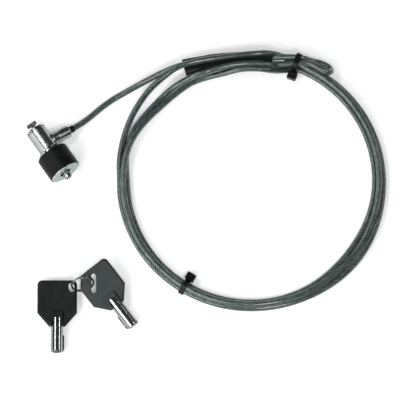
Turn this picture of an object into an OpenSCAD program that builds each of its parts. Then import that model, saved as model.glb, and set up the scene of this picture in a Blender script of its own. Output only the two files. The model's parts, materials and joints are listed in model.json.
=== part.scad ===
// Laptop cable lock: a T-bar lock head on a coated steel cable, with two tubular keys.
// Millimetres, +Z up, everything lying on the surface z = 0.

/* [Lock head] */
// Radius of the bright barrel that the cable arm belongs to
barrel_r = 6.4; // [5.8:0.1:7]
// Radius of the black grip collar
collar_r = 10.7; // [10.2:0.1:12]
// Distance from the barrel's front face to the middle of the cable arm
arm_at = 11.8; // [10:0.1:12.5]
// Radius of the cable arm
arm_r = 4; // [3.6:0.1:4.2]
// Reach of the cable arm from the barrel's axis
arm_reach = 18.8; // [17.5:0.1:20]
// Length of the T-bar's cross piece, for a 3 x 7 mm security slot
t_bar_l = 6.6; // [6:0.1:6.8]
// Width of the T-bar's cross piece and of the two locating lugs
t_bar_w = 2.6; // [2:0.1:2.8]

/* [Cable] */
// Diameter of the coated cable
cable_d = 4; // [3.8:0.1:4]
// Mean radius of the coil's turns
coil_r = 83.1; // [82.5:0.1:83.5]
// Sideways step from the mean radius to the inner and the outer turn
turn_step = 2.2; // [2:0.1:2.3]
// Length of the black sleeve over the loop's crimp
sleeve_l = 58; // [56:1:60]

/* [Keys] */
// Width of a key's plastic bow
bow_w = 25.4; // [24:0.1:26]
// Length of a bow, its taper included
bow_l = 29.8; // [29:0.1:30]
// Thickness of a bow's flat part
bow_t = 3.6; // [3:0.1:4]
// Radius of a key's tubular shank
shank_r = 3.9; // [3.8:0.05:3.9]
// Length of a whole key
key_l = 46.5; // [46:0.1:47.5]
// Outer diameter of the split ring
ring_d = 15.2; // [15:0.1:15.4]

/* [Hidden] */
$fn = 48;

// How the head lies: its front face, its turn on the surface, its lift at the key end,
// and how far the cable arm hangs below level
head_at = [-31.1, 70.8, 9.3];
head_turn = -55.5;
head_tilt = 4;
arm_droop = 15;

// Clearances: a running fit, and the play of a piece pressed into its seat
run = 0.05;
seat = 0.02;

// Stations along the head, measured from the barrel's front face towards the key
cross_front = -4.85;
cross_back = -2.95;
cap_wall = 0.8;
cap_back = 1.6;
bush_back = 4.6;
spindle_front = 7;
drive_pin_at = 8.6;
shaft_back = 10;
sleeve_back = 17.55;
flange_front = 18;
collar_front = 19.8;
block_back = 18.7;
shear_at = 25.6;
plug_face = 29.4;
face_seat = 33.8;
case_end = 35;
collar_end = 35.6;
face_end = 36.2;
post_end = 40.2;

// Radii inside the head
journal_r = 4.55;
case_r = 9.4;
flange_r = 8.8;
cavity_r = 6.15;
spindle_r = 1.8;
shaft_r = 1.2;
post_r = 2.5;
keyway_r = 4.05;
face_r = 8;
face_rim_r = 10.1;
drive_pin_r = 0.4;

// The two lugs beside the T-bar, and the groove that guides the key's rib
lug = [1.4, t_bar_w, 2.4];
lug_at = 2.15;
guide_w = 1.9;
guide_reach = 5.2;
guide_turn = -15;

// The ring of pins
pin_count = 7;
pin_pitch_r = 3.25;
pin_r = 0.68;
pin_hole_r = 0.72;
pin_l = 4;
pin_travel = 1.2;
driver_l = 2.15;
spring_l = 3.1;
spring_turns = 4;
spring_r = 0.5;
spring_wire_r = 0.13;
spring_steps = 8;

// The cable arm's inside
arm_bore_r = 2.7;
stop_from = 6.8;
stop_to = 16.8;
cable_from = 12.5;
gland_end = 22.4;
arm_pin_at = 9.5;
arm_pin_r = 0.75;
block_pin_at = 22;
block_pin_r = 0.6;
block_pin_from = 4.5;

cable_r = cable_d / 2;

// The coil stands on the bands of its two ties
tie_t = 1.1;
tie_w = 3.6;
tie_gap = 0.1;
coil_at = [109.6, 38.3, 0];
low_z = tie_t + tie_gap + cable_r;
high_z = low_z + 3.4;
upper_tie_turn = 69;
lower_tie_turn = -121.4;
tie_head = [5, 6.2, 6.4];
// The loop's two legs cross above the coil at the upper tie: radius from the coil's middle, height
crossing_legs = [[86.5, 10.6], [82.3, 11]];

// The sleeve on the crimp: start, turn, and half the distance between its two cables
sleeve_at = [65.9, 112.8, 8.8];
sleeve_turn = 4.6;
pair_step = 2.3;
ferrule_wall = 0.85;
sleeve_wall = 0.6;
ferrule_l = 24;

// The cable's way from the arm to the coil
tube_sides = 10;
lead_route = [
    [-14.3, 67.8, 6.9], [-9.3, 71.1, 5.3], [-6.4, 73, 4.3], [-0.1, 77.4, 2.8], [5.9, 82.4, 2.1],
    [11.9, 87.6, 2.1], [18.9, 92.8, 2.2], [26.9, 97.4, 3], [35.4, 101.8, 5], [43.9, 105.7, 8],
    [52.9, 109.4, 11.4], [61.9, 112.4, 13.6], [71.9, 115, 14.6], [81.9, 117, 14.6],
    [91.9, 118.6, 14.1], [101.9, 120.1, 13.5], [110.9, 121.2, 12.8], [119.9, 121.9, 12],
    [127.9, 121.6, 8.2], [134.9, 119.2, 6.8], [141.9, 115.2, 6.8]
];

// The cable's way from the coil through the sleeve, round the loop and back into the sleeve
loop_route = [
    [24.2, 39.8, 3.2], [24.1, 51.8, 3.2], [25.9, 63.8, 3.2], [29.5, 75.8, 3.4], [35.3, 87.8, 3.9],
    [43.5, 99.2, 5.1], [53.5, 108, 7], [59.4, 112.2, 8.1], [65.7, 115.1, 8.8], [94.9, 117.4, 8.8],
    [123.5, 119.7, 8.8], [130.9, 119.8, 10.4], [137.9, 119.4, 11.2], [143.9, 119.2, 9.2],
    [149.4, 118.2, 6.4], [155.2, 117.3, 4.6], [159.7, 115.4, 4], [161.9, 113, 5],
    [161.8, 110.6, 7.3], [159.6, 109.7, 9.6], [156.7, 110.8, 10.6], [152.9, 113.3, 10.2],
    [147.3, 115.6, 10.2], [140.9, 115.6, 11], [132.5, 115.2, 10], [123.9, 115.2, 8.8],
    [111.9, 114.2, 8.8]
];

// How the keys lie: the middle of each bow's far edge, the way each key points,
// how far its shank slopes down, and its roll about the shank
key_a_at = [-15.5, -29.2];
key_a_turn = -90;
key_a_tilt = 3.5;
key_b_at = [5.1, -21.9];
key_b_turn = -52.2;
key_b_tilt = 5;
key_b_roll = 14;

// A bow's outline and what is cut into it
bow_straight = 21.2;
bow_end_w = 10.4;
bow_bevel = 0.9;
bow_corner_r = 3;
boss_r = 4.9;
boss_from = 21;
boss_half_t = 3.4;
notch_from = 25.4;
notch_w = 5.8;
shank_from = 24.2;
tang_from = 14;
tang_w = 5;
tang_t = 1.6;
slot_w = 3.7;
panel_at = [11.6, 19];
panel_w = 17.6;
panel_depth = 0.4;

// A key's tube
tube_bore_r = 2.6;
tube_depth = 11.5;
rib_l = 10;
rib_w = 1.4;
rib_h = 0.8;
bitting = [1.2, 2.4, 1.8, 0.9, 2.7, 1.5, 2.1];

// The split ring
ring_at = [0.81, -31.57];
ring_turn = 12;
ring_lean = 66;
ring_band = 0.9;
ring_h = 1.5;
ring_split = 0.16;
ring_rise = ring_d / 2 * sin(ring_lean) + ring_h / 2 * cos(ring_lean);

// ---- Placing ----

// Puts a piece of the lock, drawn along +Z, where the head lies
module place_lock() {
    translate(head_at) rotate([0, 0, head_turn]) rotate([0, 90 - head_tilt, 0]) children();
}

// Puts a piece of the swivel, drawn along +Z with its arm along +Y
module place_swivel() {
    place_lock() rotate([0, 0, -arm_droop]) children();
}

// Puts a piece drawn along +Z from the barrel's axis into the cable arm
module along_arm() {
    place_swivel() translate([0, 0, arm_at]) rotate([-90, 0, 0]) children();
}

module place_key(at, turn, tilt, roll) {
    translate([at[0], at[1], key_rise(tilt)]) rotate([0, 0, turn]) rotate([0, tilt, 0])
        rotate([roll, 0, 0]) children();
}

// A cylinder from one station to another
module rod(r, from, to) {
    translate([0, 0, from]) cylinder(r = r, h = to - from);
}

// Height of a key's far end when its tip lies on the surface
function key_rise(tilt) = shank_r * cos(tilt) + key_l * sin(tilt);

// Points of a quarter round corner: middle, radius, first and last angle
function corner(middle, r, a0, a1, steps = 8) =
    [for (i = [0 : steps]) middle + r * [cos(a0 + (a1 - a0) * i / steps), sin(a0 + (a1 - a0) * i / steps)]];

// ---- Tubes swept along a route ----

function unit(v) = v / norm(v);

function heading(route, i) =
    unit(route[min(i + 1, len(route) - 1)] - route[max(i - 1, 0)]);

function tube_ring(route, i, r, sides) =
    let (ahead = heading(route, i), across = unit(cross(ahead, [0, 0, 1])), up = cross(across, ahead))
    [for (k = [0 : sides - 1]) route[i] + r * (cos(360 * k / sides) * across + sin(360 * k / sides) * up)];

module tube(route, r, sides) {
    last = len(route) - 1;
    points = [for (i = [0 : last]) each tube_ring(route, i, r, sides)];
    walls = [for (i = [0 : last - 1], k = [0 : sides - 1])
        let (a = i * sides + k, b = i * sides + (k + 1) % sides)
        each [[a, a + sides, b], [b, a + sides, b + sides]]];
    first_cap = [[for (k = [0 : sides - 1]) k]];
    last_cap = [[for (k = [sides - 1 : -1 : 0]) last * sides + k]];
    polyhedron(points, concat(walls, first_cap, last_cap), convexity = 10);
}

// ---- The swivel and its cable arm ----

module swivel_body() {
    color("silver") difference() {
        union() {
            place_swivel() rotate_extrude() polygon(concat(
                [[0, cap_back + run], [barrel_r - 0.3, cap_back + run], [barrel_r, cap_back + 0.35]],
                [[barrel_r, sleeve_back - 0.5], [barrel_r - 0.5, sleeve_back], [0, sleeve_back]]));
            along_arm() rotate_extrude() polygon([
                [0, 3], [5.2, 3], [5.2, 5.6], [4.6, 7.6], [arm_r, 10.4],
                [arm_r, arm_reach - 0.5], [arm_r - 0.5, arm_reach], [0, arm_reach]]);
        }
        place_swivel() rod(journal_r + run, 0, flange_front);
        along_arm() rod(arm_bore_r, stop_from - 0.1, arm_reach + 1);
        place_swivel() translate([0, arm_pin_at, 0]) rod(arm_pin_r, arm_at - arm_r - 1, arm_at + arm_r + 1);
    }
}

module cable_stop() {
    color("gainsboro") difference() {
        along_arm() rod(arm_bore_r - seat, stop_from, stop_to);
        along_arm() rod(cable_r + seat, cable_from, stop_to + 1);
        place_swivel() translate([0, arm_pin_at, 0]) rod(arm_pin_r, arm_at - arm_r, arm_at + arm_r);
    }
}

module arm_pin() {
    color("dimgray") place_swivel() translate([0, arm_pin_at, 0])
        rod(arm_pin_r - seat, arm_at - arm_r, arm_at + arm_r);
}

module cable_gland() {
    color([0.09, 0.09, 0.1]) along_arm() rotate_extrude() polygon([
        [cable_r + seat, stop_to], [arm_bore_r - seat, stop_to], [arm_bore_r - seat, arm_reach],
        [2.5, arm_reach + 0.4], [2.3, gland_end], [cable_r + seat, gland_end]]);
}

// ---- The cable ----

module cable_lead() {
    color([0.3, 0.33, 0.32]) tube(lead_route, cable_r, tube_sides);
}

module cable_loop() {
    color([0.3, 0.33, 0.32]) tube(loop_route, cable_r, tube_sides);
}

// Three turns: two beside each other and one in the valley between them
module cable_coil() {
    inner = coil_r - turn_step - cable_r;
    outer = coil_r + turn_step + cable_r;
    color([0.27, 0.3, 0.29]) translate(coil_at) rotate_extrude($fn = 96) polygon([
        [inner + 1.2, low_z - cable_r], [outer - 1.2, low_z - cable_r],
        [outer, low_z - 0.8], [outer, low_z + 1],
        [coil_r + 1.1, high_z + cable_r], [coil_r - 1.1, high_z + cable_r],
        [inner, low_z + 1], [inner, low_z - 0.8]]);
}

module place_sleeve() {
    translate(sleeve_at) rotate([0, 0, sleeve_turn]) rotate([0, 90, 0]) rotate([0, 0, 90]) children();
}

// A bar with round sides around the two cables
module pair_bar(r, from, to) {
    translate([0, 0, from]) linear_extrude(to - from) union() {
        translate([-pair_step, 0]) circle(r = r);
        translate([pair_step, 0]) circle(r = r);
        square([2 * pair_step, 2 * r], center = true);
    }
}

module loop_ferrule() {
    from = (sleeve_l - ferrule_l) / 2;
    color("gainsboro") place_sleeve() difference() {
        pair_bar(cable_r + ferrule_wall, from, from + ferrule_l);
        for (side = [-1, 1]) translate([side * pair_step, 0, 0])
            rod(cable_r + seat, from - 1, from + ferrule_l + 1);
    }
}

module loop_sleeve() {
    inside = cable_r + ferrule_wall + seat;
    color([0.07, 0.07, 0.08]) place_sleeve() difference() {
        pair_bar(inside + sleeve_wall, 0, sleeve_l);
        pair_bar(inside, -1, sleeve_l + 1);
    }
}

// A cable tie around cables whose middles are given by radius and height
module tie(turn, cables) {
    color([0.06, 0.06, 0.07]) translate(coil_at) rotate([0, 0, turn]) {
        rotate([90, 0, 0]) linear_extrude(tie_w, center = true) difference() {
            hull() for (c = cables) translate(c) circle(r = cable_r + tie_gap + tie_t, $fn = 32);
            hull() for (c = cables) translate(c) circle(r = cable_r + tie_gap, $fn = 32);
        }
        head_edge = coil_r - turn_step - cable_r - tie_gap - 0.6;
        translate([head_edge - tie_head[0], -tie_head[1] / 2, 0.3]) cube(tie_head);
        translate([head_edge - 3, -tie_w / 2, 0.3]) cube([tie_t, tie_w, tie_head[2] + 2.6]);
    }
}

function coil_cables() = [[coil_r - turn_step, low_z], [coil_r + turn_step, low_z], [coil_r, high_z]];

module upper_tie() {
    tie(upper_tie_turn, concat(coil_cables(), crossing_legs));
}

module lower_tie() {
    tie(lower_tie_turn, coil_cables());
}

// ---- The lock ----

// Front cap with the two lugs that stop the head from turning in the slot
module nose_cap() {
    color("silver") place_lock() {
        difference() {
            rotate_extrude() polygon(concat([[0, 0]], corner([barrel_r - 1, 1], 1, -90, 0),
                [[barrel_r, cap_back], [0, cap_back]]));
            rod(journal_r + seat, cap_wall, cap_back + 1);
            rod(shaft_r + 0.08, -1, cap_back);
        }
        for (side = [-1, 1]) translate([side * lug_at, 0, 0.05 - lug[2] / 2]) cube(lug, center = true);
    }
}

module lock_barrel() {
    color("silver") place_lock() difference() {
        rotate_extrude() polygon([[0, cap_wall], [journal_r, cap_wall], [journal_r, flange_front],
            [flange_r - 0.6, flange_front], [flange_r, flange_front + 0.6], [flange_r, collar_front],
            [case_r, collar_front], [case_r, case_end], [0, case_end]]);
        rod(spindle_r + run, 0, block_back);
        rod(cavity_r, block_back - 0.1, case_end + 1);
        rod(face_r, face_seat, case_end + 1);
        translate([0, 0, block_pin_at]) rotate([0, 90, 0]) cylinder(r = block_pin_r, h = case_r + 1);
    }
}

module swivel_washer() {
    color("khaki") place_lock() difference() {
        rod(barrel_r - 0.1, sleeve_back + run, flange_front);
        rod(journal_r + seat, 0, flange_front + 1);
    }
}

module nose_bush() {
    color("goldenrod") place_lock() difference() {
        rod(spindle_r + run - seat, cap_wall + seat, bush_back);
        rod(shaft_r + run, 0, bush_back + 1);
    }
}

module grip_collar() {
    soft = 0.8;
    rim = 0.3;
    color([0.08, 0.08, 0.09]) place_lock() rotate_extrude() polygon(concat(
        [[case_r + seat, collar_front]],
        corner([collar_r - soft, collar_front + soft], soft, -60, 0),
        corner([collar_r - rim, collar_end - rim], rim, 0, 90),
        [[face_rim_r + seat, collar_end], [face_rim_r + seat, case_end], [case_r + seat, case_end]]));
}

// Bright ring of the lock's face, with the outer wall of the keyway behind it
module face_ring() {
    color("gainsboro") place_lock() difference() {
        rotate_extrude() polygon(concat(
            [[keyway_r, plug_face + 2 * run], [cavity_r - seat, plug_face + 2 * run]],
            [[cavity_r - seat, face_seat + seat], [face_r - seat, face_seat + seat]],
            [[face_r - seat, case_end + seat], [face_rim_r, case_end + seat]],
            corner([face_rim_r - 0.7, face_end - 0.7], 0.7, 0, 90),
            [[keyway_r + 0.3, face_end], [keyway_r, face_end - 0.3]]));
        rotate([0, 0, guide_turn]) translate([0, -guide_w / 2, plug_face]) cube([guide_reach, guide_w, 8]);
    }
}

// Repeats a piece at each pin's place
module each_pin() {
    for (i = [0 : pin_count - 1])
        rotate([0, 0, 360 * (i + 0.5) / pin_count]) translate([pin_pitch_r, 0, 0]) children();
}

module pin_block() {
    color("darkgoldenrod") place_lock() difference() {
        rod(cavity_r - seat, block_back, shear_at - seat);
        rod(spindle_r + run, 0, shear_at + 1);
        each_pin() rod(pin_hole_r, shear_at - driver_l - spring_l - 0.15, shear_at + 1);
        translate([block_pin_from, 0, block_pin_at]) rotate([0, 90, 0]) cylinder(r = block_pin_r, h = 3);
    }
}

module block_pin() {
    color("dimgray") place_lock() translate([block_pin_from + seat, 0, block_pin_at]) rotate([0, 90, 0])
        cylinder(r = block_pin_r - seat, h = case_r - block_pin_from - 2 * seat);
}

module driver_pins() {
    color("gold") place_lock() each_pin() rod(pin_r, shear_at - driver_l - 2 * seat, shear_at - 2 * seat);
}

module spring() {
    steps = spring_turns * spring_steps;
    rise = spring_l - 2 * spring_wire_r;
    route = [for (i = [0 : steps]) let (a = 360 * i / spring_steps)
        [spring_r * cos(a), spring_r * sin(a), spring_wire_r + rise * i / steps]];
    tube(route, spring_wire_r, 4);
}

module pin_springs() {
    color("lightgray") place_lock()
        each_pin() translate([0, 0, shear_at - driver_l - spring_l - 3 * seat]) spring();
}

// ---- What the key turns ----

// Hole across the plug's spindle and the T-bar's shaft for the pin that joins them
module cross_hole() {
    translate([0, 0, drive_pin_at]) rotate([0, 90, 0]) cylinder(r = drive_pin_r, h = 5, center = true);
}

module lock_plug() {
    color("silver") place_lock() difference() {
        rotate_extrude() polygon([
            [0, spindle_front], [spindle_r, spindle_front], [spindle_r, shear_at + seat],
            [cavity_r - run, shear_at + seat], [cavity_r - run, plug_face], [post_r, plug_face],
            [post_r, post_end - 0.5], [post_r - 0.5, post_end], [0, post_end]]);
        each_pin() rod(pin_hole_r, shear_at - 1, plug_face + 1);
        rod(shaft_r + seat, spindle_front - 1, shaft_back + 0.2);
        cross_hole();
        rotate([0, 0, guide_turn]) translate([post_r - 0.8, -0.6, post_end - 4.5]) cube([2, 1.2, 5]);
    }
}

module t_bar() {
    color("gainsboro") place_lock() difference() {
        union() {
            rod(shaft_r, cross_back - 0.2, shaft_back);
            translate([-t_bar_w / 2, -t_bar_l / 2, cross_front])
                cube([t_bar_w, t_bar_l, cross_back - cross_front]);
        }
        cross_hole();
    }
}

module drive_pin() {
    color("dimgray") place_lock() translate([0, 0, drive_pin_at]) rotate([0, 90, 0])
        cylinder(r = drive_pin_r - seat, h = 2 * spindle_r - 0.2, center = true);
}

module key_pins() {
    from = shear_at + pin_travel + seat;
    color("gold") place_lock() each_pin() rod(pin_r, from, from + pin_l);
}

// ---- The keys ----

// A bow's outline, drawn from its far edge at x = 0 towards the shank;
// cut is how much of the slot's corner is cut off along the far edge and along the side
function bow_outline(inset, side, cut) =
    let (w = bow_w / 2 - inset, r = bow_corner_r, x0 = inset)
    concat(
        corner([x0 + r, -side * (w - r)], r, 180, 180 + side * 90),
        [[bow_straight, -side * w], [bow_l - inset, -side * (bow_end_w / 2 - inset)]],
        [[bow_l - inset, side * (bow_end_w / 2 - inset)], [bow_straight, side * w]],
        cut[0] > 0
            ? [[x0 + cut[1], side * w], [x0, side * (w - cut[0])]]
            : corner([x0 + r, side * (w - r)], r, side * 90, side * 180));

// side: which long side of the bow the slot is near; slot: its middle, turn and length
module bow(side, cut, slot_middle, slot_turn, slot_l, with_panel) {
    color([0.1, 0.11, 0.11]) difference() {
        union() {
            hull() {
                linear_extrude(bow_t - 2 * bow_bevel, center = true) polygon(bow_outline(0, side, cut));
                linear_extrude(bow_t, center = true) polygon(bow_outline(bow_bevel, side, cut));
            }
            intersection() {
                rotate([0, 90, 0]) rod(boss_r, boss_from, bow_l);
                translate([boss_from, -boss_r, -boss_half_t])
                    cube([bow_l - boss_from, 2 * boss_r, 2 * boss_half_t]);
            }
        }
        rotate([0, 90, 0]) rod(shank_r + seat, shank_from, bow_l + 1);
        tang(tang_from, tang_w + 2 * seat, tang_t + 2 * seat);
        translate([notch_from, -notch_w / 2, -5]) cube([bow_l, notch_w, 10]);
        translate(slot_middle) rotate([0, 0, slot_turn]) union() {
            cube([slot_l - slot_w, slot_w, 20], center = true);
            for (end = [-1, 1]) translate([end * (slot_l - slot_w) / 2, 0, 0])
                cylinder(r = slot_w / 2, h = 20, center = true);
        }
        if (with_panel) translate([panel_at[0], -panel_w / 2, bow_t / 2 - panel_depth])
            cube([panel_at[1] - panel_at[0], panel_w, 5]);
    }
}

// The flat end of a shank, which the bow holds
module tang(from, w, t) {
    translate([from, -w / 2, -t / 2]) cube([shank_from + 1 - from, w, t]);
}

module shank(rib_side) {
    color("gainsboro") difference() {
        union() {
            rotate([0, 90, 0]) rotate_extrude() polygon([
                [0, shank_from + seat], [shank_r, shank_from + seat], [shank_r, key_l - 0.3],
                [shank_r - 0.3, key_l], [0, key_l]]);
            tang(tang_from + seat, tang_w, tang_t);
            translate([key_l - rib_l - 0.8, rib_side > 0 ? shank_r - 0.5 : -shank_r - rib_h, -rib_w / 2])
                cube([rib_l, rib_h + 0.5, rib_w]);
        }
        rotate([0, 90, 0]) rod(tube_bore_r, key_l - tube_depth, key_l + 1);
        for (i = [0 : pin_count - 1]) rotate([360 * (i + 0.5) / pin_count, 0, 0]) translate([0, 0, shank_r])
            rotate([0, 90, 0]) rod(0.8, key_l - bitting[i], key_l + 1);
    }
}

module key_ring() {
    color("gainsboro") translate([ring_at[0], ring_at[1], ring_rise]) rotate([0, 0, ring_turn])
        rotate([ring_lean, 0, 0]) rotate_extrude() polygon([
            [ring_d / 2 - ring_band, -ring_h / 2], [ring_d / 2, -ring_h / 2], [ring_d / 2, -ring_split / 2],
            [ring_d / 2 - 0.25, 0], [ring_d / 2, ring_split / 2], [ring_d / 2, ring_h / 2],
            [ring_d / 2 - ring_band, ring_h / 2]]);
}

module key_a_bow() {
    place_key(key_a_at, key_a_turn, key_a_tilt, 0) bow(1, [0, 0], [4.5, 9.2, 0], 10, 6.2, true);
}

module key_a_shank() {
    place_key(key_a_at, key_a_turn, key_a_tilt, 0) shank(1);
}

module key_b_bow() {
    place_key(key_b_at, key_b_turn, key_b_tilt, key_b_roll)
        bow(-1, [5.5, 7.1], [9, -3.5, 0], -37.4, 12.6, false);
}

module key_b_shank() {
    place_key(key_b_at, key_b_turn, key_b_tilt, key_b_roll) shank(-1);
}

swivel_body();
cable_stop();
arm_pin();
cable_gland();
cable_lead();
cable_coil();
cable_loop();
loop_ferrule();
loop_sleeve();
upper_tie();
lower_tie();
nose_cap();
lock_barrel();
swivel_washer();
nose_bush();
grip_collar();
face_ring();
pin_block();
block_pin();
driver_pins();
pin_springs();
lock_plug();
t_bar();
drive_pin();
key_pins();
key_ring();
key_a_bow();
key_a_shank();
key_b_bow();
key_b_shank();
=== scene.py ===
"""A laptop cable lock: the CAD frame, with its cable, ties, sleeve and finishes made here. Metres, +Z up."""

import json
import math

import bmesh
import bpy
import numpy as np
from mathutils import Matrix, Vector

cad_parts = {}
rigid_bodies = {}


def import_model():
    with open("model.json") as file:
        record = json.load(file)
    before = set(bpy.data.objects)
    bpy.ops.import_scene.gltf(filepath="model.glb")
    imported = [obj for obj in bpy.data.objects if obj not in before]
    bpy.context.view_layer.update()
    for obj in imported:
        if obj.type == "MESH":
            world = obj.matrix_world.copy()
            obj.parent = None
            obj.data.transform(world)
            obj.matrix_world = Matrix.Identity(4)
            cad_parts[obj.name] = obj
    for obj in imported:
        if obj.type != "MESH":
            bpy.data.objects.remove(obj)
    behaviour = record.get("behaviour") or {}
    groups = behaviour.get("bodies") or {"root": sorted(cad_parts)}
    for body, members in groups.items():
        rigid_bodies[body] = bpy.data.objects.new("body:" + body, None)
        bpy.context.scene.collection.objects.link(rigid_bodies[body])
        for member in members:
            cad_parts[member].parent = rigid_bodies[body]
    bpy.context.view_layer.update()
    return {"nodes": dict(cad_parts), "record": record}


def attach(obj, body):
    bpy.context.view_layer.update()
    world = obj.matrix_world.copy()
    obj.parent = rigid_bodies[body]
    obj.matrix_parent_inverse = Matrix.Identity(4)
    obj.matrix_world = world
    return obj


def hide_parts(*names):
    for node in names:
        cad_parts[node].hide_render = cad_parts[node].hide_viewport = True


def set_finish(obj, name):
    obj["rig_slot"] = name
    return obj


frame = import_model()
MM = 0.001

# ---- Camera ----

VIEW_TARGET = Vector((0.0763, 0.0259, 0.0))
VIEW_DISTANCE = 2.0
VIEW_ELEVATION = 76
VIEW_ANGLE = 7.44


def make_camera():
    """Looks along +Y from high up, so that +X runs to the right in the picture."""
    data = bpy.data.cameras.new("camera")
    data.angle = math.radians(VIEW_ANGLE)
    camera = bpy.data.objects.new("camera", data)
    bpy.context.scene.collection.objects.link(camera)
    rise = math.radians(VIEW_ELEVATION)
    camera.location = VIEW_TARGET + VIEW_DISTANCE * Vector((0, -math.cos(rise), math.sin(rise)))
    camera.rotation_euler = (math.pi / 2 - rise, 0, 0)
    bpy.context.scene.camera = camera


# ---- Swept meshes ----


def unit(vectors):
    """Each row at length 1."""
    return vectors / np.linalg.norm(vectors, axis=-1, keepdims=True)


def smooth_route(points, step):
    """Points about a step apart on the smooth curve through the given ones."""
    points = np.array(points, float)
    lengths = np.linalg.norm(np.diff(points, axis=0), axis=1)
    at = np.concatenate([[0], np.cumsum(lengths)])
    slopes = np.gradient(points, at, axis=0)
    fine = np.linspace(0, at[-1], int(at[-1] / step) + 1)
    i = np.clip(np.searchsorted(at, fine, side="right") - 1, 0, len(lengths) - 1)
    h = lengths[i][:, None]
    t = ((fine - at[i]) / lengths[i])[:, None]
    ends = (2 * t**3 - 3 * t**2 + 1) * points[i] + (3 * t**2 - 2 * t**3) * points[i + 1]
    bends = (t**3 - 2 * t**2 + t) * slopes[i] + (t**3 - t**2) * slopes[i + 1]
    return ends + h * bends


def headings(line, closed):
    """The line's direction at each of its points."""
    if closed:
        return unit(np.roll(line, -1, axis=0) - np.roll(line, 1, axis=0))
    return unit(np.gradient(line, axis=0))


def carried(ahead):
    """For each heading a direction across it that never twists along the line."""
    across = [unit(np.cross(ahead[0], [0, 0, 1]))]
    for direction in ahead[1:]:
        across.append(unit(across[-1] - direction * (across[-1] @ direction)))
    return np.array(across)


def sweep(name, line, sections, across=None, closed=False):
    """A mesh of rings along the line. A section is the points (across, up) of one ring, or one list for
    each ring. Its UVs run once around the ring and, in metres, along the line."""
    line = np.array(line, float)
    ahead = headings(line, closed)
    across = carried(ahead) if across is None else np.broadcast_to(across, line.shape)
    up = np.cross(across, ahead)
    sections = np.array(sections, float)
    if sections.ndim == 2:
        sections = np.broadcast_to(sections, (len(line), *sections.shape))
    rings = line[:, None] + sections[..., :1] * across[:, None] + sections[..., 1:] * up[:, None]
    count, sides = rings.shape[:2]
    along = np.concatenate([[0], np.cumsum(np.linalg.norm(np.diff(line, axis=0), axis=1))])
    faces, uvs = [], []
    for i in range(count if closed else count - 1):
        j = (i + 1) % count
        far = along[i] + np.linalg.norm(line[j] - line[i])
        for k in range(sides):
            m = (k + 1) % sides
            faces.append((i * sides + k, i * sides + m, j * sides + m, j * sides + k))
            uvs += [(k / sides, along[i]), ((k + 1) / sides, along[i])]
            uvs += [((k + 1) / sides, far), (k / sides, far)]
    if not closed:
        faces.append(tuple(range(sides - 1, -1, -1)))
        faces.append(tuple((count - 1) * sides + k for k in range(sides)))
        uvs += [(0.0, 0.0)] * sides + [(0.0, float(along[-1]))] * sides
    mesh = bpy.data.meshes.new(name)
    mesh.from_pydata(rings.reshape(-1, 3).tolist(), [], faces)
    layer = mesh.uv_layers.new(name="along")
    layer.data.foreach_set("uv", np.array(uvs, np.float32).ravel())
    return finished(name, mesh)


def finished(name, mesh, sharp_angle=40):
    """An object of the mesh, with its faces outwards, smooth except over sharp edges."""
    shape = bmesh.new()
    shape.from_mesh(mesh)
    bmesh.ops.recalc_face_normals(shape, faces=shape.faces)
    shape.to_mesh(mesh)
    shape.free()
    mesh.shade_smooth()
    mesh.set_sharp_from_angle(angle=math.radians(sharp_angle))
    piece = bpy.data.objects.new(name, mesh)
    bpy.context.scene.collection.objects.link(piece)
    return piece


def circle(radius, sides):
    """Points of a round section."""
    turn = 2 * np.pi * np.arange(sides) / sides
    return np.stack([np.cos(turn), np.sin(turn)], axis=1) * radius


def round_box(width, height, corner, steps=3):
    """Points of a rectangular section with round corners."""
    points = []
    for quarter, (x, y) in enumerate([(1, 1), (-1, 1), (-1, -1), (1, -1)]):
        for step in range(steps + 1):
            turn = math.pi / 2 * (quarter + step / steps)
            points.append((x * (width / 2 - corner) + corner * math.cos(turn),
                           y * (height / 2 - corner) + corner * math.sin(turn)))
    return np.array(points)


def eased(value, start, end):
    """0 before start, 1 after end, and smooth between them."""
    t = np.clip((value - start) / (end - start), 0, 1)
    return t * t * (3 - 2 * t)


def hump(value, middle, width):
    """1 at the middle, fading to nothing about two widths away."""
    return np.exp(-(((value - middle) / width) ** 2))


# ---- The cable ----

CABLE_D = 4 * MM
CABLE_STEP = 1.4 * MM
COIL_AT = np.array((109.6, 38.3, 0)) * MM
COIL_R = 83.1 * MM
TURN_STEP = 2.2 * MM
LOW_Z = 3.2 * MM
HIGH_Z = 6.6 * MM
OVER_SLEEVE_Z = 14.3 * MM
OVER_EDGE_Z = 13.2 * MM
COIL_START = 67.2
COIL_END = -900
UPPER_LEFT_BELLY = 4.4 * MM
SLEEVE_EDGE_INSET = 4.0 * MM
SLEEVE_MIDDLE_INSET = 4.7 * MM
SPREAD_OUT = 1.6 * MM
SPREAD_DOWN = 2.1 * MM
OUT_OF_ROUND = 0.35 * MM

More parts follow.
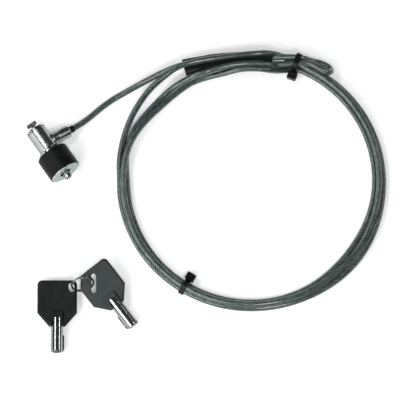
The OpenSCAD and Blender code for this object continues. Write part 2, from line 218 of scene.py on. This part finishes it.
LEAD_ROUTE = np.array([
    (-14.3, 67.8, 6.9), (-9.3, 71.1, 5.3), (-6.4, 73, 4.3), (-0.1, 77.4, 2.8), (5.9, 82.4, 2.1),
    (11.9, 87.6, 2.1), (18.9, 92.8, 2.2), (26.9, 97.4, 3), (35.4, 101.8, 5), (43.9, 105.7, 8),
    (52.9, 109.4, 11.4), (61.9, 112.4, 13.6), (71.9, 115, 14.6), (81.9, 117, 14.6), (91.9, 118.6, 14.1),
    (101.9, 120.1, 13.5), (110.9, 121.2, 12.8), (119.9, 121.9, 12), (127.9, 121.6, 8.2), (134.9, 119.2, 6.8),
    (141.9, 115.2, 6.8)]) * MM
LOOP_ROUTE = np.array([
    (24.2, 39.8, 3.2), (24.1, 51.8, 3.2), (25.9, 63.8, 3.2), (29.5, 75.8, 3.4), (35.3, 87.8, 3.9),
    (43.5, 99.2, 5.1), (53.5, 108, 7), (59.4, 112.2, 8.1), (65.7, 115.1, 8.8), (94.9, 117.4, 8.8),
    (123.5, 119.7, 8.8), (130.9, 119.8, 10.4), (137.9, 119.4, 11.2), (143.9, 119.2, 9.2),
    (149.4, 118.2, 6.4), (155.2, 117.3, 4.6), (159.7, 115.4, 4), (161.9, 113, 5), (161.8, 110.6, 7.3),
    (159.6, 109.7, 9.6), (156.7, 110.8, 10.6), (152.9, 113.3, 10.2), (147.3, 115.6, 10.2),
    (140.9, 115.6, 11), (132.5, 115.2, 10), (123.9, 115.2, 8.8), (111.9, 114.2, 8.8)]) * MM


def coil_point(turned):
    """The cable's place in the coil once it has turned that far, in degrees, clockwise being negative.
    It starts on top of the bundle, drops to the inner side, and then crosses to the outer side."""
    angle = (turned + 180) % 360 - 180
    drop = eased(-turned, 196, 232)
    cross = eased(-turned, 536, 566)
    side = -drop + 2 * cross
    r = COIL_R + side * TURN_STEP
    z = HIGH_Z + (LOW_Z - HIGH_Z) * drop
    # The turns belly inwards at the upper left
    r -= UPPER_LEFT_BELLY * eased(angle, 66, 84) * (1 - eased(angle, 136, 172))
    inner = drop * (1 - cross)
    outer = drop * cross
    # The inner one climbs onto the sleeve's edge, and the outer one crosses over its middle
    r -= SLEEVE_EDGE_INSET * inner * eased(angle, 66, 80) * (1 - eased(angle, 100, 122))
    z += (OVER_EDGE_Z - z) * inner * eased(angle, 71, 84) * (1 - eased(angle, 92, 118))
    r -= SLEEVE_MIDDLE_INSET * outer * eased(angle, 64, 80) * (1 - eased(angle, 108, 136))
    z += (OVER_SLEEVE_Z - z) * outer * eased(angle, 71, 84) * (1 - eased(angle, 112, 138))
    # They spread at the lower right
    spread = hump(angle, -38, 24)
    r += SPREAD_OUT * side * spread
    z -= SPREAD_DOWN * (1 - drop) * spread
    # The coil isn't perfectly round
    r += OUT_OF_ROUND * math.sin(math.radians(2 * turned) + 1.0 * side)
    a = math.radians(turned)
    return COIL_AT + (r * math.cos(a), r * math.sin(a), z)


def cable_line():
    """The centre of the whole cable, from inside the lock's arm to its end in the sleeve."""
    turns = np.arange(COIL_START - 5, COIL_END + 4, -4.5)
    coil = [coil_point(turned) for turned in turns]
    return smooth_route(np.vstack([LEAD_ROUTE[:-1], coil, LOOP_ROUTE]), CABLE_STEP)


def make_cable(pieces_on_it):
    """The cable as one strand: from the arm, around the coil, out along the loop and back to the sleeve."""
    line = cable_line()
    cable = sweep("cable", line, circle(CABLE_D / 2, 24))
    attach(cable, "cable")
    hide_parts("cable_lead", "cable_coil", "cable_loop")
    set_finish(cable, "cable")
    return cable


# The black shrink sleeve over the loop's crimp
SLEEVE_AT = np.array((65.9, 112.8, 8.8)) * MM
SLEEVE_TURN = 4.6
SLEEVE_L = 58 * MM
SLEEVE_WALL = 0.6 * MM
SLEEVE_BELLY = 2.2 * MM
SLEEVE_LIP = 0.08 * MM
SLEEVE_MOUTH = 4 * MM
SLEEVE_SLANT = -0.18
PAIR_STEP = 2.3 * MM
FERRULE_L = 24 * MM
FERRULE_R = 2.85 * MM
FERRULE_RINGS = 25
FERRULE_SIDES = 40


def sleeve_section(along):
    """The sleeve's outline around its two cables, fuller over the ferrule than at its ends."""
    full = eased(along, 12 * MM, 19 * MM) * (1 - eased(along, 39 * MM, 46 * MM))
    half_width = 5.45 * MM + 0.3 * MM * full
    half_height = 2.85 * MM + 0.6 * MM * full
    wrinkle = 0.05 * MM * math.sin(along / MM * 1.9) * (1 - full)
    points = []
    for k in range(48):
        turn = 2 * math.pi * k / 48
        c, s = math.cos(turn), math.sin(turn)
        waist = 1 - (0.10 - 0.07 * full) * hump(c, 0, 0.3)
        points.append(((half_width + wrinkle) * math.copysign(abs(c) ** 0.8, c),
                       (half_height + wrinkle) * math.copysign(abs(s) ** 0.75, s) * waist))
    return np.array(points)


def sleeve_frame():
    """The directions along and across the sleeve."""
    turn = math.radians(SLEEVE_TURN)
    return np.array((math.cos(turn), math.sin(turn), 0)), np.array((-math.sin(turn), math.cos(turn), 0))


def sleeve_line(stations):
    """The bent middle line of the sleeve, which bellies away from the coil, at the given places along it."""
    ahead, across = sleeve_frame()
    stations = np.array(stations)
    belly = SLEEVE_BELLY * np.sin(np.pi * np.clip(stations / SLEEVE_L, 0, 1)) ** 0.7
    belly = belly * (1 - 0.35 * eased(stations, 36 * MM, 50 * MM))
    return SLEEVE_AT + stations[:, None] * ahead + belly[:, None] * across


def make_sleeve():
    """The shrunk tube, turned in at both mouths. Its left end is cut at a slant."""
    ahead, across = sleeve_frame()
    # How far along each ring is, and how far inside the outline
    left = [(SLEEVE_MOUTH, SLEEVE_WALL), (0.5 * MM, SLEEVE_WALL), (0.1 * MM, SLEEVE_WALL * 0.6),
            (0.0, SLEEVE_WALL * 0.3), (0.0, SLEEVE_LIP), (0.3 * MM, 0.0)]
    middle = [(step * MM, 0.0) for step in range(1, 58)]
    right = [(SLEEVE_L - 0.3 * MM, 0.0), (SLEEVE_L, SLEEVE_LIP), (SLEEVE_L, SLEEVE_WALL * 0.5),
             (SLEEVE_L - 0.5 * MM, SLEEVE_WALL), (SLEEVE_L - SLEEVE_MOUTH, SLEEVE_WALL)]
    rings = left + middle + right
    sections = []
    for along, inset in rings:
        section = sleeve_section(along)
        sections.append(section * (1 - inset / np.abs(section).max(axis=0)))
    piece = sweep("loop_sleeve_shrunk", sleeve_line([along for along, _ in rings]), sections, across)
    for vertex in piece.data.vertices:
        offset = np.array(vertex.co) - SLEEVE_AT
        share = 1 - eased(offset @ ahead, 0, 6 * MM)
        vertex.co = Vector(np.array(vertex.co) + ahead * (SLEEVE_SLANT * (offset @ across) * share))
    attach(piece, "cable")
    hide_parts("loop_sleeve")
    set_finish(piece, "sleeve")
    return piece


def make_ferrule():
    """The crimp inside the sleeve, pressed round both cables and bent with the sleeve."""
    ends = (SLEEVE_L - FERRULE_L) / 2
    stations = np.linspace(ends, SLEEVE_L - ends, FERRULE_RINGS)
    turns = 2 * np.pi * np.arange(FERRULE_SIDES) / FERRULE_SIDES
    side = np.where(np.cos(turns) > 0, PAIR_STEP, -PAIR_STEP)
    outline = circle(FERRULE_R, FERRULE_SIDES) + np.stack([side, 0 * side], axis=1)
    pressed = []
    for ring in range(FERRULE_RINGS):
        groove = 0.05 if ring % 4 == 2 else 0
        end = 0.08 if ring in (0, FERRULE_RINGS - 1) else 0
        pressed.append(outline * (1 - groove - end))
    piece = sweep("loop_ferrule_crimp", sleeve_line(stations), pressed, sleeve_frame()[1])
    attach(piece, "cable")
    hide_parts("loop_ferrule")
    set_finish(piece, "crimp")
    return piece


# ---- Ties ----

TIE_T = 1.1 * MM
TIE_W = 3.6 * MM
TIE_GAP = 0.1 * MM
UPPER_TIE_TURN = 69
LOWER_TIE_TURN = -121.4
STUB_TEETH = 17
BUNDLE = [(COIL_R - TURN_STEP, LOW_Z), (COIL_R + TURN_STEP, LOW_Z), (COIL_R, HIGH_Z)]
CROSSING_LEGS = [(86.5 * MM, 10.6 * MM), (82.3 * MM, 11 * MM)]


def hull_outline(circles, radius, count):
    """Evenly spaced points around circles of one radius, as a tight band lies."""
    turn = 2 * np.pi * np.arange(720) / 720
    out = np.stack([np.cos(turn), np.sin(turn)], axis=1)
    reach = (np.array(circles) @ out.T)
    touched = np.array(circles)[reach.argmax(axis=0)] + radius * out
    loop = np.vstack([touched, touched[:1]])
    at = np.concatenate([[0], np.cumsum(np.linalg.norm(np.diff(loop, axis=0), axis=1))])
    even = np.linspace(0, at[-1], count, endpoint=False)
    return np.stack([np.interp(even, at, loop[:, axis]) for axis in (0, 1)], axis=1)


def make_tie(name, node, turn_deg, circles):
    """A cable tie: the band around the bundle, its head inside the coil, and the cut stub of its tail."""
    turn = math.radians(turn_deg)
    outward = np.array((math.cos(turn), math.sin(turn), 0))
    around = np.array((-math.sin(turn), math.cos(turn), 0))
    up = np.array((0, 0, 1.0))

    def placed(points):
        return COIL_AT + points[:, :1] * outward + points[:, 1:2] * up

    band = placed(hull_outline(circles, CABLE_D / 2 + TIE_GAP + TIE_T / 2, 72))
    parts = [sweep(name, band, round_box(TIE_W, TIE_T, 0.3 * MM), around, closed=True)]
    edge = COIL_R - TURN_STEP - CABLE_D / 2 - TIE_GAP - 0.6 * MM
    # The head: a block that narrows towards its foot, with the slot that the tail comes out of
    heights = (0.35, 0.7, 2, 4, 6, 6.4, 6.4, 5.4)
    head_line = placed(np.array([(edge - 2.5 * MM, z * MM) for z in heights]))
    head_sizes = [(4.2, 5.0), (4.8, 5.8), (5, 6.2), (5, 6.2), (4.9, 6.1), (4.3, 5.5), (1.9, 4.1), (1.7, 3.9)]
    head_sections = [round_box(w * MM, d * MM, 0.5 * MM) for d, w in head_sizes]
    parts.append(sweep(name + "_head", head_line, head_sections, around))
    # The stub: a row of teeth across its inner face
    stub = [(edge - 2.5 * MM, (3.4 + 0.35 * i) * MM) for i in range(STUB_TEETH)]
    thick = [1.0 - 0.26 * (i % 2) for i in range(STUB_TEETH)]
    stub_sections = [round_box((3.4 - 0.2 * (t < 1)) * MM, t * MM, 0.2 * MM) for t in thick]
    parts.append(sweep(name + "_stub", placed(np.array(stub)), stub_sections, around))
    piece = joined(parts)
    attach(piece, "cable")
    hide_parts(node)
    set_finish(piece, "tie")
    return piece


def joined(parts):
    """Several objects as one, under the first one's name."""
    bpy.ops.object.select_all(action="DESELECT")
    for part in parts:
        part.select_set(True)
    bpy.context.view_layer.objects.active = parts[0]
    bpy.ops.object.join()
    return parts[0]


# ---- Split ring ----

RING_D = 15.2 * MM
RING_BAND = 0.9 * MM
RING_H = 1.5 * MM
RING_AT = np.array((0.81, -31.57)) * MM
RING_TURN = 12
RING_LEAN = 66


def make_ring():
    """Two turns of flat wire side by side, with a short step where one passes into the other."""
    gap = 0.12 * MM
    wire_h = (RING_H - gap) / 2
    turns = np.linspace(0, 4 * np.pi - 0.25, 220)
    r = (RING_D - RING_BAND) / 2
    step = eased(turns, 2 * np.pi - 0.75, 2 * np.pi - 0.05)
    height = (step - 0.5) * (wire_h + gap)
    flat = np.stack([r * np.cos(turns + 2.6), r * np.sin(turns + 2.6), height], axis=1)
    lean, turn = math.radians(RING_LEAN), math.radians(RING_TURN)
    tip = np.array([[1, 0, 0], [0, math.cos(lean), -math.sin(lean)], [0, math.sin(lean), math.cos(lean)]])
    spin = np.array([[math.cos(turn), -math.sin(turn), 0], [math.sin(turn), math.cos(turn), 0], [0, 0, 1]])
    rise = RING_D / 2 * math.sin(lean) + RING_H / 2 * math.cos(lean)
    place = spin @ tip
    line = flat @ place.T + np.array((*RING_AT, rise))
    radial = np.stack([np.cos(turns + 2.6), np.sin(turns + 2.6), 0 * turns], axis=1) @ place.T
    piece = sweep("key_ring_split", line, round_box(RING_BAND, wire_h, 0.22 * MM), radial)
    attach(piece, "ring")
    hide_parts("key_ring")
    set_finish(piece, "ring_steel")
    return piece


# ---- Softened castings ----

CASTING_VOXEL = 0.16 * MM
CASTING_PASSES = 16


def softened(node, name, body, slot, voxel, passes):
    """A copy of a CAD node with its edges and inner corners rounded, as cast and polished metal has them."""
    piece = bpy.data.objects.new(name, frame["nodes"][node].data.copy())
    bpy.context.scene.collection.objects.link(piece)
    remesh = piece.modifiers.new("remesh", "REMESH")
    remesh.mode = "VOXEL"
    remesh.voxel_size = voxel
    smooth = piece.modifiers.new("smooth", "SMOOTH")
    smooth.factor = 0.5
    smooth.iterations = passes
    bpy.context.view_layer.update()
    evaluated = piece.evaluated_get(bpy.context.evaluated_depsgraph_get())
    mesh = bpy.data.meshes.new_from_object(evaluated)
    piece.modifiers.clear()
    piece.data = mesh
    mesh.shade_smooth()
    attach(piece, body)
    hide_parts(node)
    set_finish(piece, slot)
    return piece


# ---- Materials ----


class Shader:
    """A material and the nodes that feed its surface."""

    def __init__(self, name, **surface):
        self.material = bpy.data.materials.new(name)
        self.material.use_nodes = True
        self.tree = self.material.node_tree
        self.surface = self.tree.nodes["Principled BSDF"]
        for key, value in surface.items():
            self.put(self.surface.inputs[key.replace("_", " ")], value)
        self.place = self.node("ShaderNodeTexCoord").outputs["Object"]

    def put(self, socket, value):
        if isinstance(value, bpy.types.NodeSocket):
            self.tree.links.new(value, socket)
        elif isinstance(value, tuple) and len(value) == 3 and socket.type == "RGBA":
            socket.default_value = (*value, 1)
        else:
            socket.default_value = value

    def node(self, kind, inputs=None, **settings):
        made = self.tree.nodes.new(kind)
        for key, value in settings.items():
            setattr(made, key, value)
        for key, value in (inputs or {}).items():
            self.put(made.inputs[key], value)
        return made

    def maths(self, operation, a, b=0.0):
        return self.node("ShaderNodeMath", {0: a, 1: b}, operation=operation).outputs[0]

    def between(self, value, low, high, to_low=0.0, to_high=1.0):
        """The value's range low to high, brought to another range and held in it."""
        inputs = {"Value": value, "From Min": low, "From Max": high, "To Min": to_low, "To Max": to_high}
        return self.node("ShaderNodeMapRange", inputs).outputs[0]

    def noise(self, scale, detail=3.0, stretch=(1, 1, 1), turn=(0, 0, 0)):
        place = self.node("ShaderNodeMapping", {"Vector": self.place, "Scale": stretch, "Rotation": turn})
        inputs = {"Vector": place.outputs[0], "Scale": scale, "Detail": detail}
        return self.node("ShaderNodeTexNoise", inputs).outputs["Fac"]

    def mix(self, share, a, b):
        made = self.node("ShaderNodeMix", data_type="RGBA")
        for socket, value in ((made.inputs[0], share), (made.inputs[6], a), (made.inputs[7], b)):
            self.put(socket, value)
        return made.outputs[2]

    def rounded(self, radius):
        """A normal that rounds the edges by a radius, in metres."""
        return self.node("ShaderNodeBevel", {"Radius": radius}, samples=6).outputs[0]

    def edges(self, rounded):
        """1 on an edge, from how far the rounded normal leaves the face's own."""
        own = self.node("ShaderNodeNewGeometry").outputs["Normal"]
        dot = self.node("ShaderNodeVectorMath", {0: own, 1: rounded}, operation="DOT_PRODUCT")
        return self.between(dot.outputs["Value"], 0.995, 0.8)

    def bump(self, height, strength, distance, normal=None):
        inputs = {"Height": height, "Strength": strength, "Distance": distance}
        if normal is not None:
            inputs["Normal"] = normal
        return self.node("ShaderNodeBump", inputs).outputs[0]

    def drive(self, **surface):
        for key, value in surface.items():
            self.put(self.surface.inputs[key.replace("_", " ")], value)
        return self.material


def metal(name, colour, roughness, edge_radius=0.15 * MM, scratch=0.5):
    """Plated or ground metal: faint ripples, fine scratches, and edges polished by handling."""
    s = Shader(name, Metallic=1.0, Specular_Tint=(0.35, 0.36, 0.36))
    dull = tuple(0.72 * c for c in colour)
    rounded = s.rounded(edge_radius)
    edges = s.edges(rounded)
    cloud = s.noise(260, 4)
    lines = s.noise(900, 2, (9, 0.35, 0.35), (0.3, 0.2, 0.9))
    cross_lines = s.noise(1100, 2, (0.3, 8, 0.4), (0.1, 0.7, 0.3))
    scratches = s.between(s.maths("MAXIMUM", lines, cross_lines), 0.62, 0.74)
    tone = s.mix(s.between(cloud, 0.35, 0.7, 0, 0.35), colour, dull)
    rough = s.between(cloud, 0.3, 0.7, roughness * 0.75, roughness * 1.35)
    rough = s.maths("ADD", rough, s.maths("MULTIPLY", scratches, 0.12 * scratch))
    rough = s.maths("SUBTRACT", rough, s.maths("MULTIPLY", edges, roughness * 0.3))
    grain = s.maths("ADD", s.maths("MULTIPLY", scratches, -0.5 * scratch), s.noise(3200, 2))
    return s.drive(Base_Color=tone, Roughness=rough, Normal=s.bump(grain, 0.08, 0.008 * MM, rounded))


def plastic(name, colour, roughness, worn, gloss=0.22, edge_radius=0.3 * MM):
    """Moulded plastic: a fine spark-eroded grain, rubbed smoother and greyer along its edges."""
    s = Shader(name, Specular_IOR_Level=gloss)
    rounded = s.rounded(edge_radius)
    edges = s.edges(rounded)
    patches = s.noise(140, 5)
    wear = s.maths("MULTIPLY", edges, s.between(s.noise(700, 4), 0.42, 0.62))
    tone = s.mix(s.between(patches, 0.35, 0.7), colour, tuple(1.35 * c + 0.002 for c in colour))
    tone = s.mix(s.maths("MULTIPLY", wear, 0.6), tone, worn)
    rough = s.between(patches, 0.3, 0.75, roughness * 0.85, roughness * 1.2)
    rough = s.maths("SUBTRACT", rough, s.maths("MULTIPLY", wear, 0.12))
    pits = s.noise(5200, 3)
    return s.drive(Base_Color=tone, Roughness=rough, Normal=s.bump(pits, 0.5, 0.03 * MM, rounded))


ROPE_STRANDS = 7
ROPE_LAY = 13 * MM
STRAND_WIRES = 5


def coated_rope():
    """Galvanised steel rope under a clear, slightly smoky jacket. The rope's twist is in the base layer,
    with painted shade making the grooves between strands and wires near black, and the jacket is the smooth
    coat over it."""
    s = Shader("coated_rope")
    uv = s.node("ShaderNodeUVMap", uv_map="along").outputs[0]
    parts = s.node("ShaderNodeSeparateXYZ", {"Vector": uv}).outputs
    around, along = parts[0], parts[1]
    strand = s.maths("MULTIPLY", s.maths("ADD", around, s.maths("DIVIDE", along, ROPE_LAY)), ROPE_STRANDS)
    across = s.maths("FRACT", strand)
    strand_dome = dome(s, across)
    # Each strand's wires run nearly straight along the rope, so they slant across the strand
    wire = s.maths("FRACT", s.maths("ADD", s.maths("MULTIPLY", across, STRAND_WIRES),
                                    s.maths("DIVIDE", along, -0.9 * MM)))
    wire_dome = dome(s, wire)
    height = s.maths("MULTIPLY", strand_dome, s.between(wire_dome, 0, 1, 0.72, 1))
    zinc = s.noise(420, 4)
    bright = s.mix(s.between(zinc, 0.35, 0.7), (0.18, 0.225, 0.215), (0.08, 0.105, 0.10))
    # Painted shade: the colour drops to near black down in the grooves between strands and between wires,
    # where shade falls
    tone = s.mix(s.between(height, 0.45, 0.9), (0.002, 0.0045, 0.004), bright)
    haze = s.noise(90, 4)
    s.drive(Base_Color=tone, Metallic=0.8, Roughness=s.between(zinc, 0.3, 0.7, 0.3, 0.44),
            Normal=s.bump(height, 1.0, 0.35 * MM))
    return s.drive(Coat_Weight=1.0, Coat_IOR=1.5, Coat_Tint=(0.9, 0.94, 0.92),
                   Coat_Roughness=s.between(haze, 0.35, 0.75, 0.05, 0.16))


def dome(shader, share):
    """The round top of a strand or wire, from where across it a point is, 0 to 1."""
    side = shader.maths("SUBTRACT", shader.maths("MULTIPLY", share, 2.0), 1.0)
    left = shader.maths("SUBTRACT", 1.0, shader.maths("MULTIPLY", side, side))
    return shader.maths("SQRT", shader.maths("MAXIMUM", left, 0.0))


def shrink_sleeve():
    """Heat-shrunk black tube: a soft gloss, drawn slightly unevenly over what it grips."""
    s = Shader("shrink_sleeve", Specular_IOR_Level=0.22)
    drawn = s.noise(130, 3, (0.35, 1, 1))
    fine = s.noise(2400, 3)
    height = s.maths("ADD", s.maths("MULTIPLY", drawn, 2.0), s.maths("MULTIPLY", fine, 0.12))
    tone = s.mix(s.between(drawn, 0.4, 0.7), (0.003, 0.0045, 0.0042), (0.006, 0.0085, 0.008))
    rough = s.between(fine, 0.3, 0.7, 0.34, 0.48)
    return s.drive(Base_Color=tone, Roughness=rough, Normal=s.bump(height, 0.5, 0.12 * MM))


def spring_steel():
    """Drawn wire with a bluish temper."""
    s = Shader("spring_steel", Metallic=1.0)
    tone = s.mix(s.between(s.noise(1500, 3), 0.35, 0.65), (0.52, 0.53, 0.56), (0.36, 0.38, 0.44))
    return s.drive(Base_Color=tone, Roughness=s.between(s.noise(4000, 2), 0.3, 0.7, 0.22, 0.38))


def make_materials():
    """The finish of each of the record's material slots."""
    dark = (0.0035, 0.0045, 0.0043)
    worn = (0.03, 0.032, 0.032)
    return {
        "swivel": metal("nickel_cast", (0.42, 0.43, 0.42), 0.24, 0.1 * MM, 0.2),
        "nickel": metal("nickel_plate", (0.4, 0.41, 0.4), 0.16),
        "face": metal("face_plate", (0.6, 0.66, 0.65), 0.3),
        "hard_steel": metal("ground_steel", (0.16, 0.16, 0.16), 0.34),
        "pin_steel": metal("pin_steel", (0.32, 0.32, 0.33), 0.3, 0.08 * MM),
        "crimp": metal("crimp_aluminium", (0.62, 0.63, 0.64), 0.34),
        "ring_steel": metal("ring_steel", (0.26, 0.27, 0.26), 0.2, 0.06 * MM),
        "brass": metal("brass", (0.72, 0.5, 0.2), 0.22, 0.08 * MM),
        "key_pin_brass": metal("key_pin_brass", (0.78, 0.58, 0.28), 0.18, 0.06 * MM),
        "bush": metal("bush_bronze", (0.62, 0.42, 0.18), 0.28, 0.08 * MM),
        "spring_steel": spring_steel(),
        "washer": plastic("washer_acetal", (0.66, 0.62, 0.52), 0.45, (0.75, 0.72, 0.62)),
        "collar": plastic("collar_plastic", dark, 0.45, worn, 0.13),
        "gland": plastic("gland_rubber", dark, 0.5, worn),
        "tie": plastic("tie_nylon", dark, 0.36, worn, edge_radius=0.15 * MM),
        "bow_dark": plastic("bow_black", (0.0035, 0.0055, 0.005), 0.48, worn),
        # Key B's bow is the same black plastic as key A's. Its lighter base and edge colours are painted
        # sheen, standing in for the light its tilted face catches.
        "bow_light": plastic("bow_black_painted_sheen", (0.024, 0.031, 0.0295), 0.48, (0.05, 0.06, 0.058)),
        "cable": coated_rope(),
        "sleeve": shrink_sleeve(),
    }


def paint(materials):
    """Gives each piece, made here or carried over from the CAD, its slot's finish. The face ring has a
    paler and duller one of its own."""
    for part in frame["record"]["subparts"]:
        piece = frame["nodes"][part["node"]]
        finish = "face" if part["node"] == "face_ring" else part["material_slot"]
        piece.data.materials.clear()
        piece.data.materials.append(materials[finish])
    for piece in bpy.context.scene.objects:
        if piece.type == "MESH" and "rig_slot" in piece:
            piece.data.materials.clear()
            piece.data.materials.append(materials[piece["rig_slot"]])


# ---- Studio ----

FLOOR_HALF = 4.0


def make_floor():
    mesh = bpy.data.meshes.new("floor")
    corners = [(x * FLOOR_HALF, y * FLOOR_HALF, 0) for x, y in ((-1, -1), (1, -1), (1, 1), (-1, 1))]
    mesh.from_pydata(corners, [], [(0, 1, 2, 3)])
    floor = bpy.data.objects.new("floor", mesh)
    bpy.context.scene.collection.objects.link(floor)
    s = Shader("floor", Base_Color=(0.86, 0.86, 0.86), Roughness=0.9, Specular_IOR_Level=0.1)
    s.drive(Emission_Color=(1.0, 1.0, 1.0), Emission_Strength=0.32)
    floor.data.materials.append(s.material)


def soft_light(name, place, size, watts):
    data = bpy.data.lights.new(name, "AREA")
    data.shape = "RECTANGLE"
    data.size, data.size_y = size
    data.energy = watts
    light = bpy.data.objects.new(name, data)
    bpy.context.scene.collection.objects.link(light)
    light.location = place
    light.rotation_euler = (VIEW_TARGET - Vector(place)).to_track_quat("-Z", "Y").to_euler()


def make_studio():
    make_floor()
    soft_light("key_light", (-0.72, -0.9, 1.03), (1.2, 0.9), 18.5)
    soft_light("front_light", (0.35, -0.85, 1.7), (0.3, 0.3), 11)
    soft_light("left_strip", (-0.67, 0.36, 1.26), (0.9, 0.2), 6)
    soft_light("left_panel", (-0.95, -0.32, 0.42), (0.45, 0.7), 2.1)
    soft_light("right_strip", (1.13, 0.33, 1.02), (0.8, 0.14), 3.5)
    world = bpy.data.worlds.new("studio")
    bpy.context.scene.world = world
    world.use_nodes = True
    world.node_tree.nodes["Background"].inputs["Color"].default_value = (0.85, 1.0, 0.96, 1)
    world.node_tree.nodes["Background"].inputs["Strength"].default_value = 0.05
    bpy.context.scene.view_settings.view_transform = "Standard"


# ---- Everything ----

make_camera()
sleeve = make_sleeve()
upper_tie = make_tie("upper_tie_band", "upper_tie", UPPER_TIE_TURN, BUNDLE + CROSSING_LEGS)
lower_tie = make_tie("lower_tie_band", "lower_tie", LOWER_TIE_TURN, BUNDLE)
make_cable([sleeve, make_ferrule(), upper_tie, lower_tie, frame["nodes"]["cable_gland"]])
make_ring()
softened("swivel_body", "swivel_casting", "cable", "swivel", CASTING_VOXEL, CASTING_PASSES)
paint(make_materials())
make_studio()
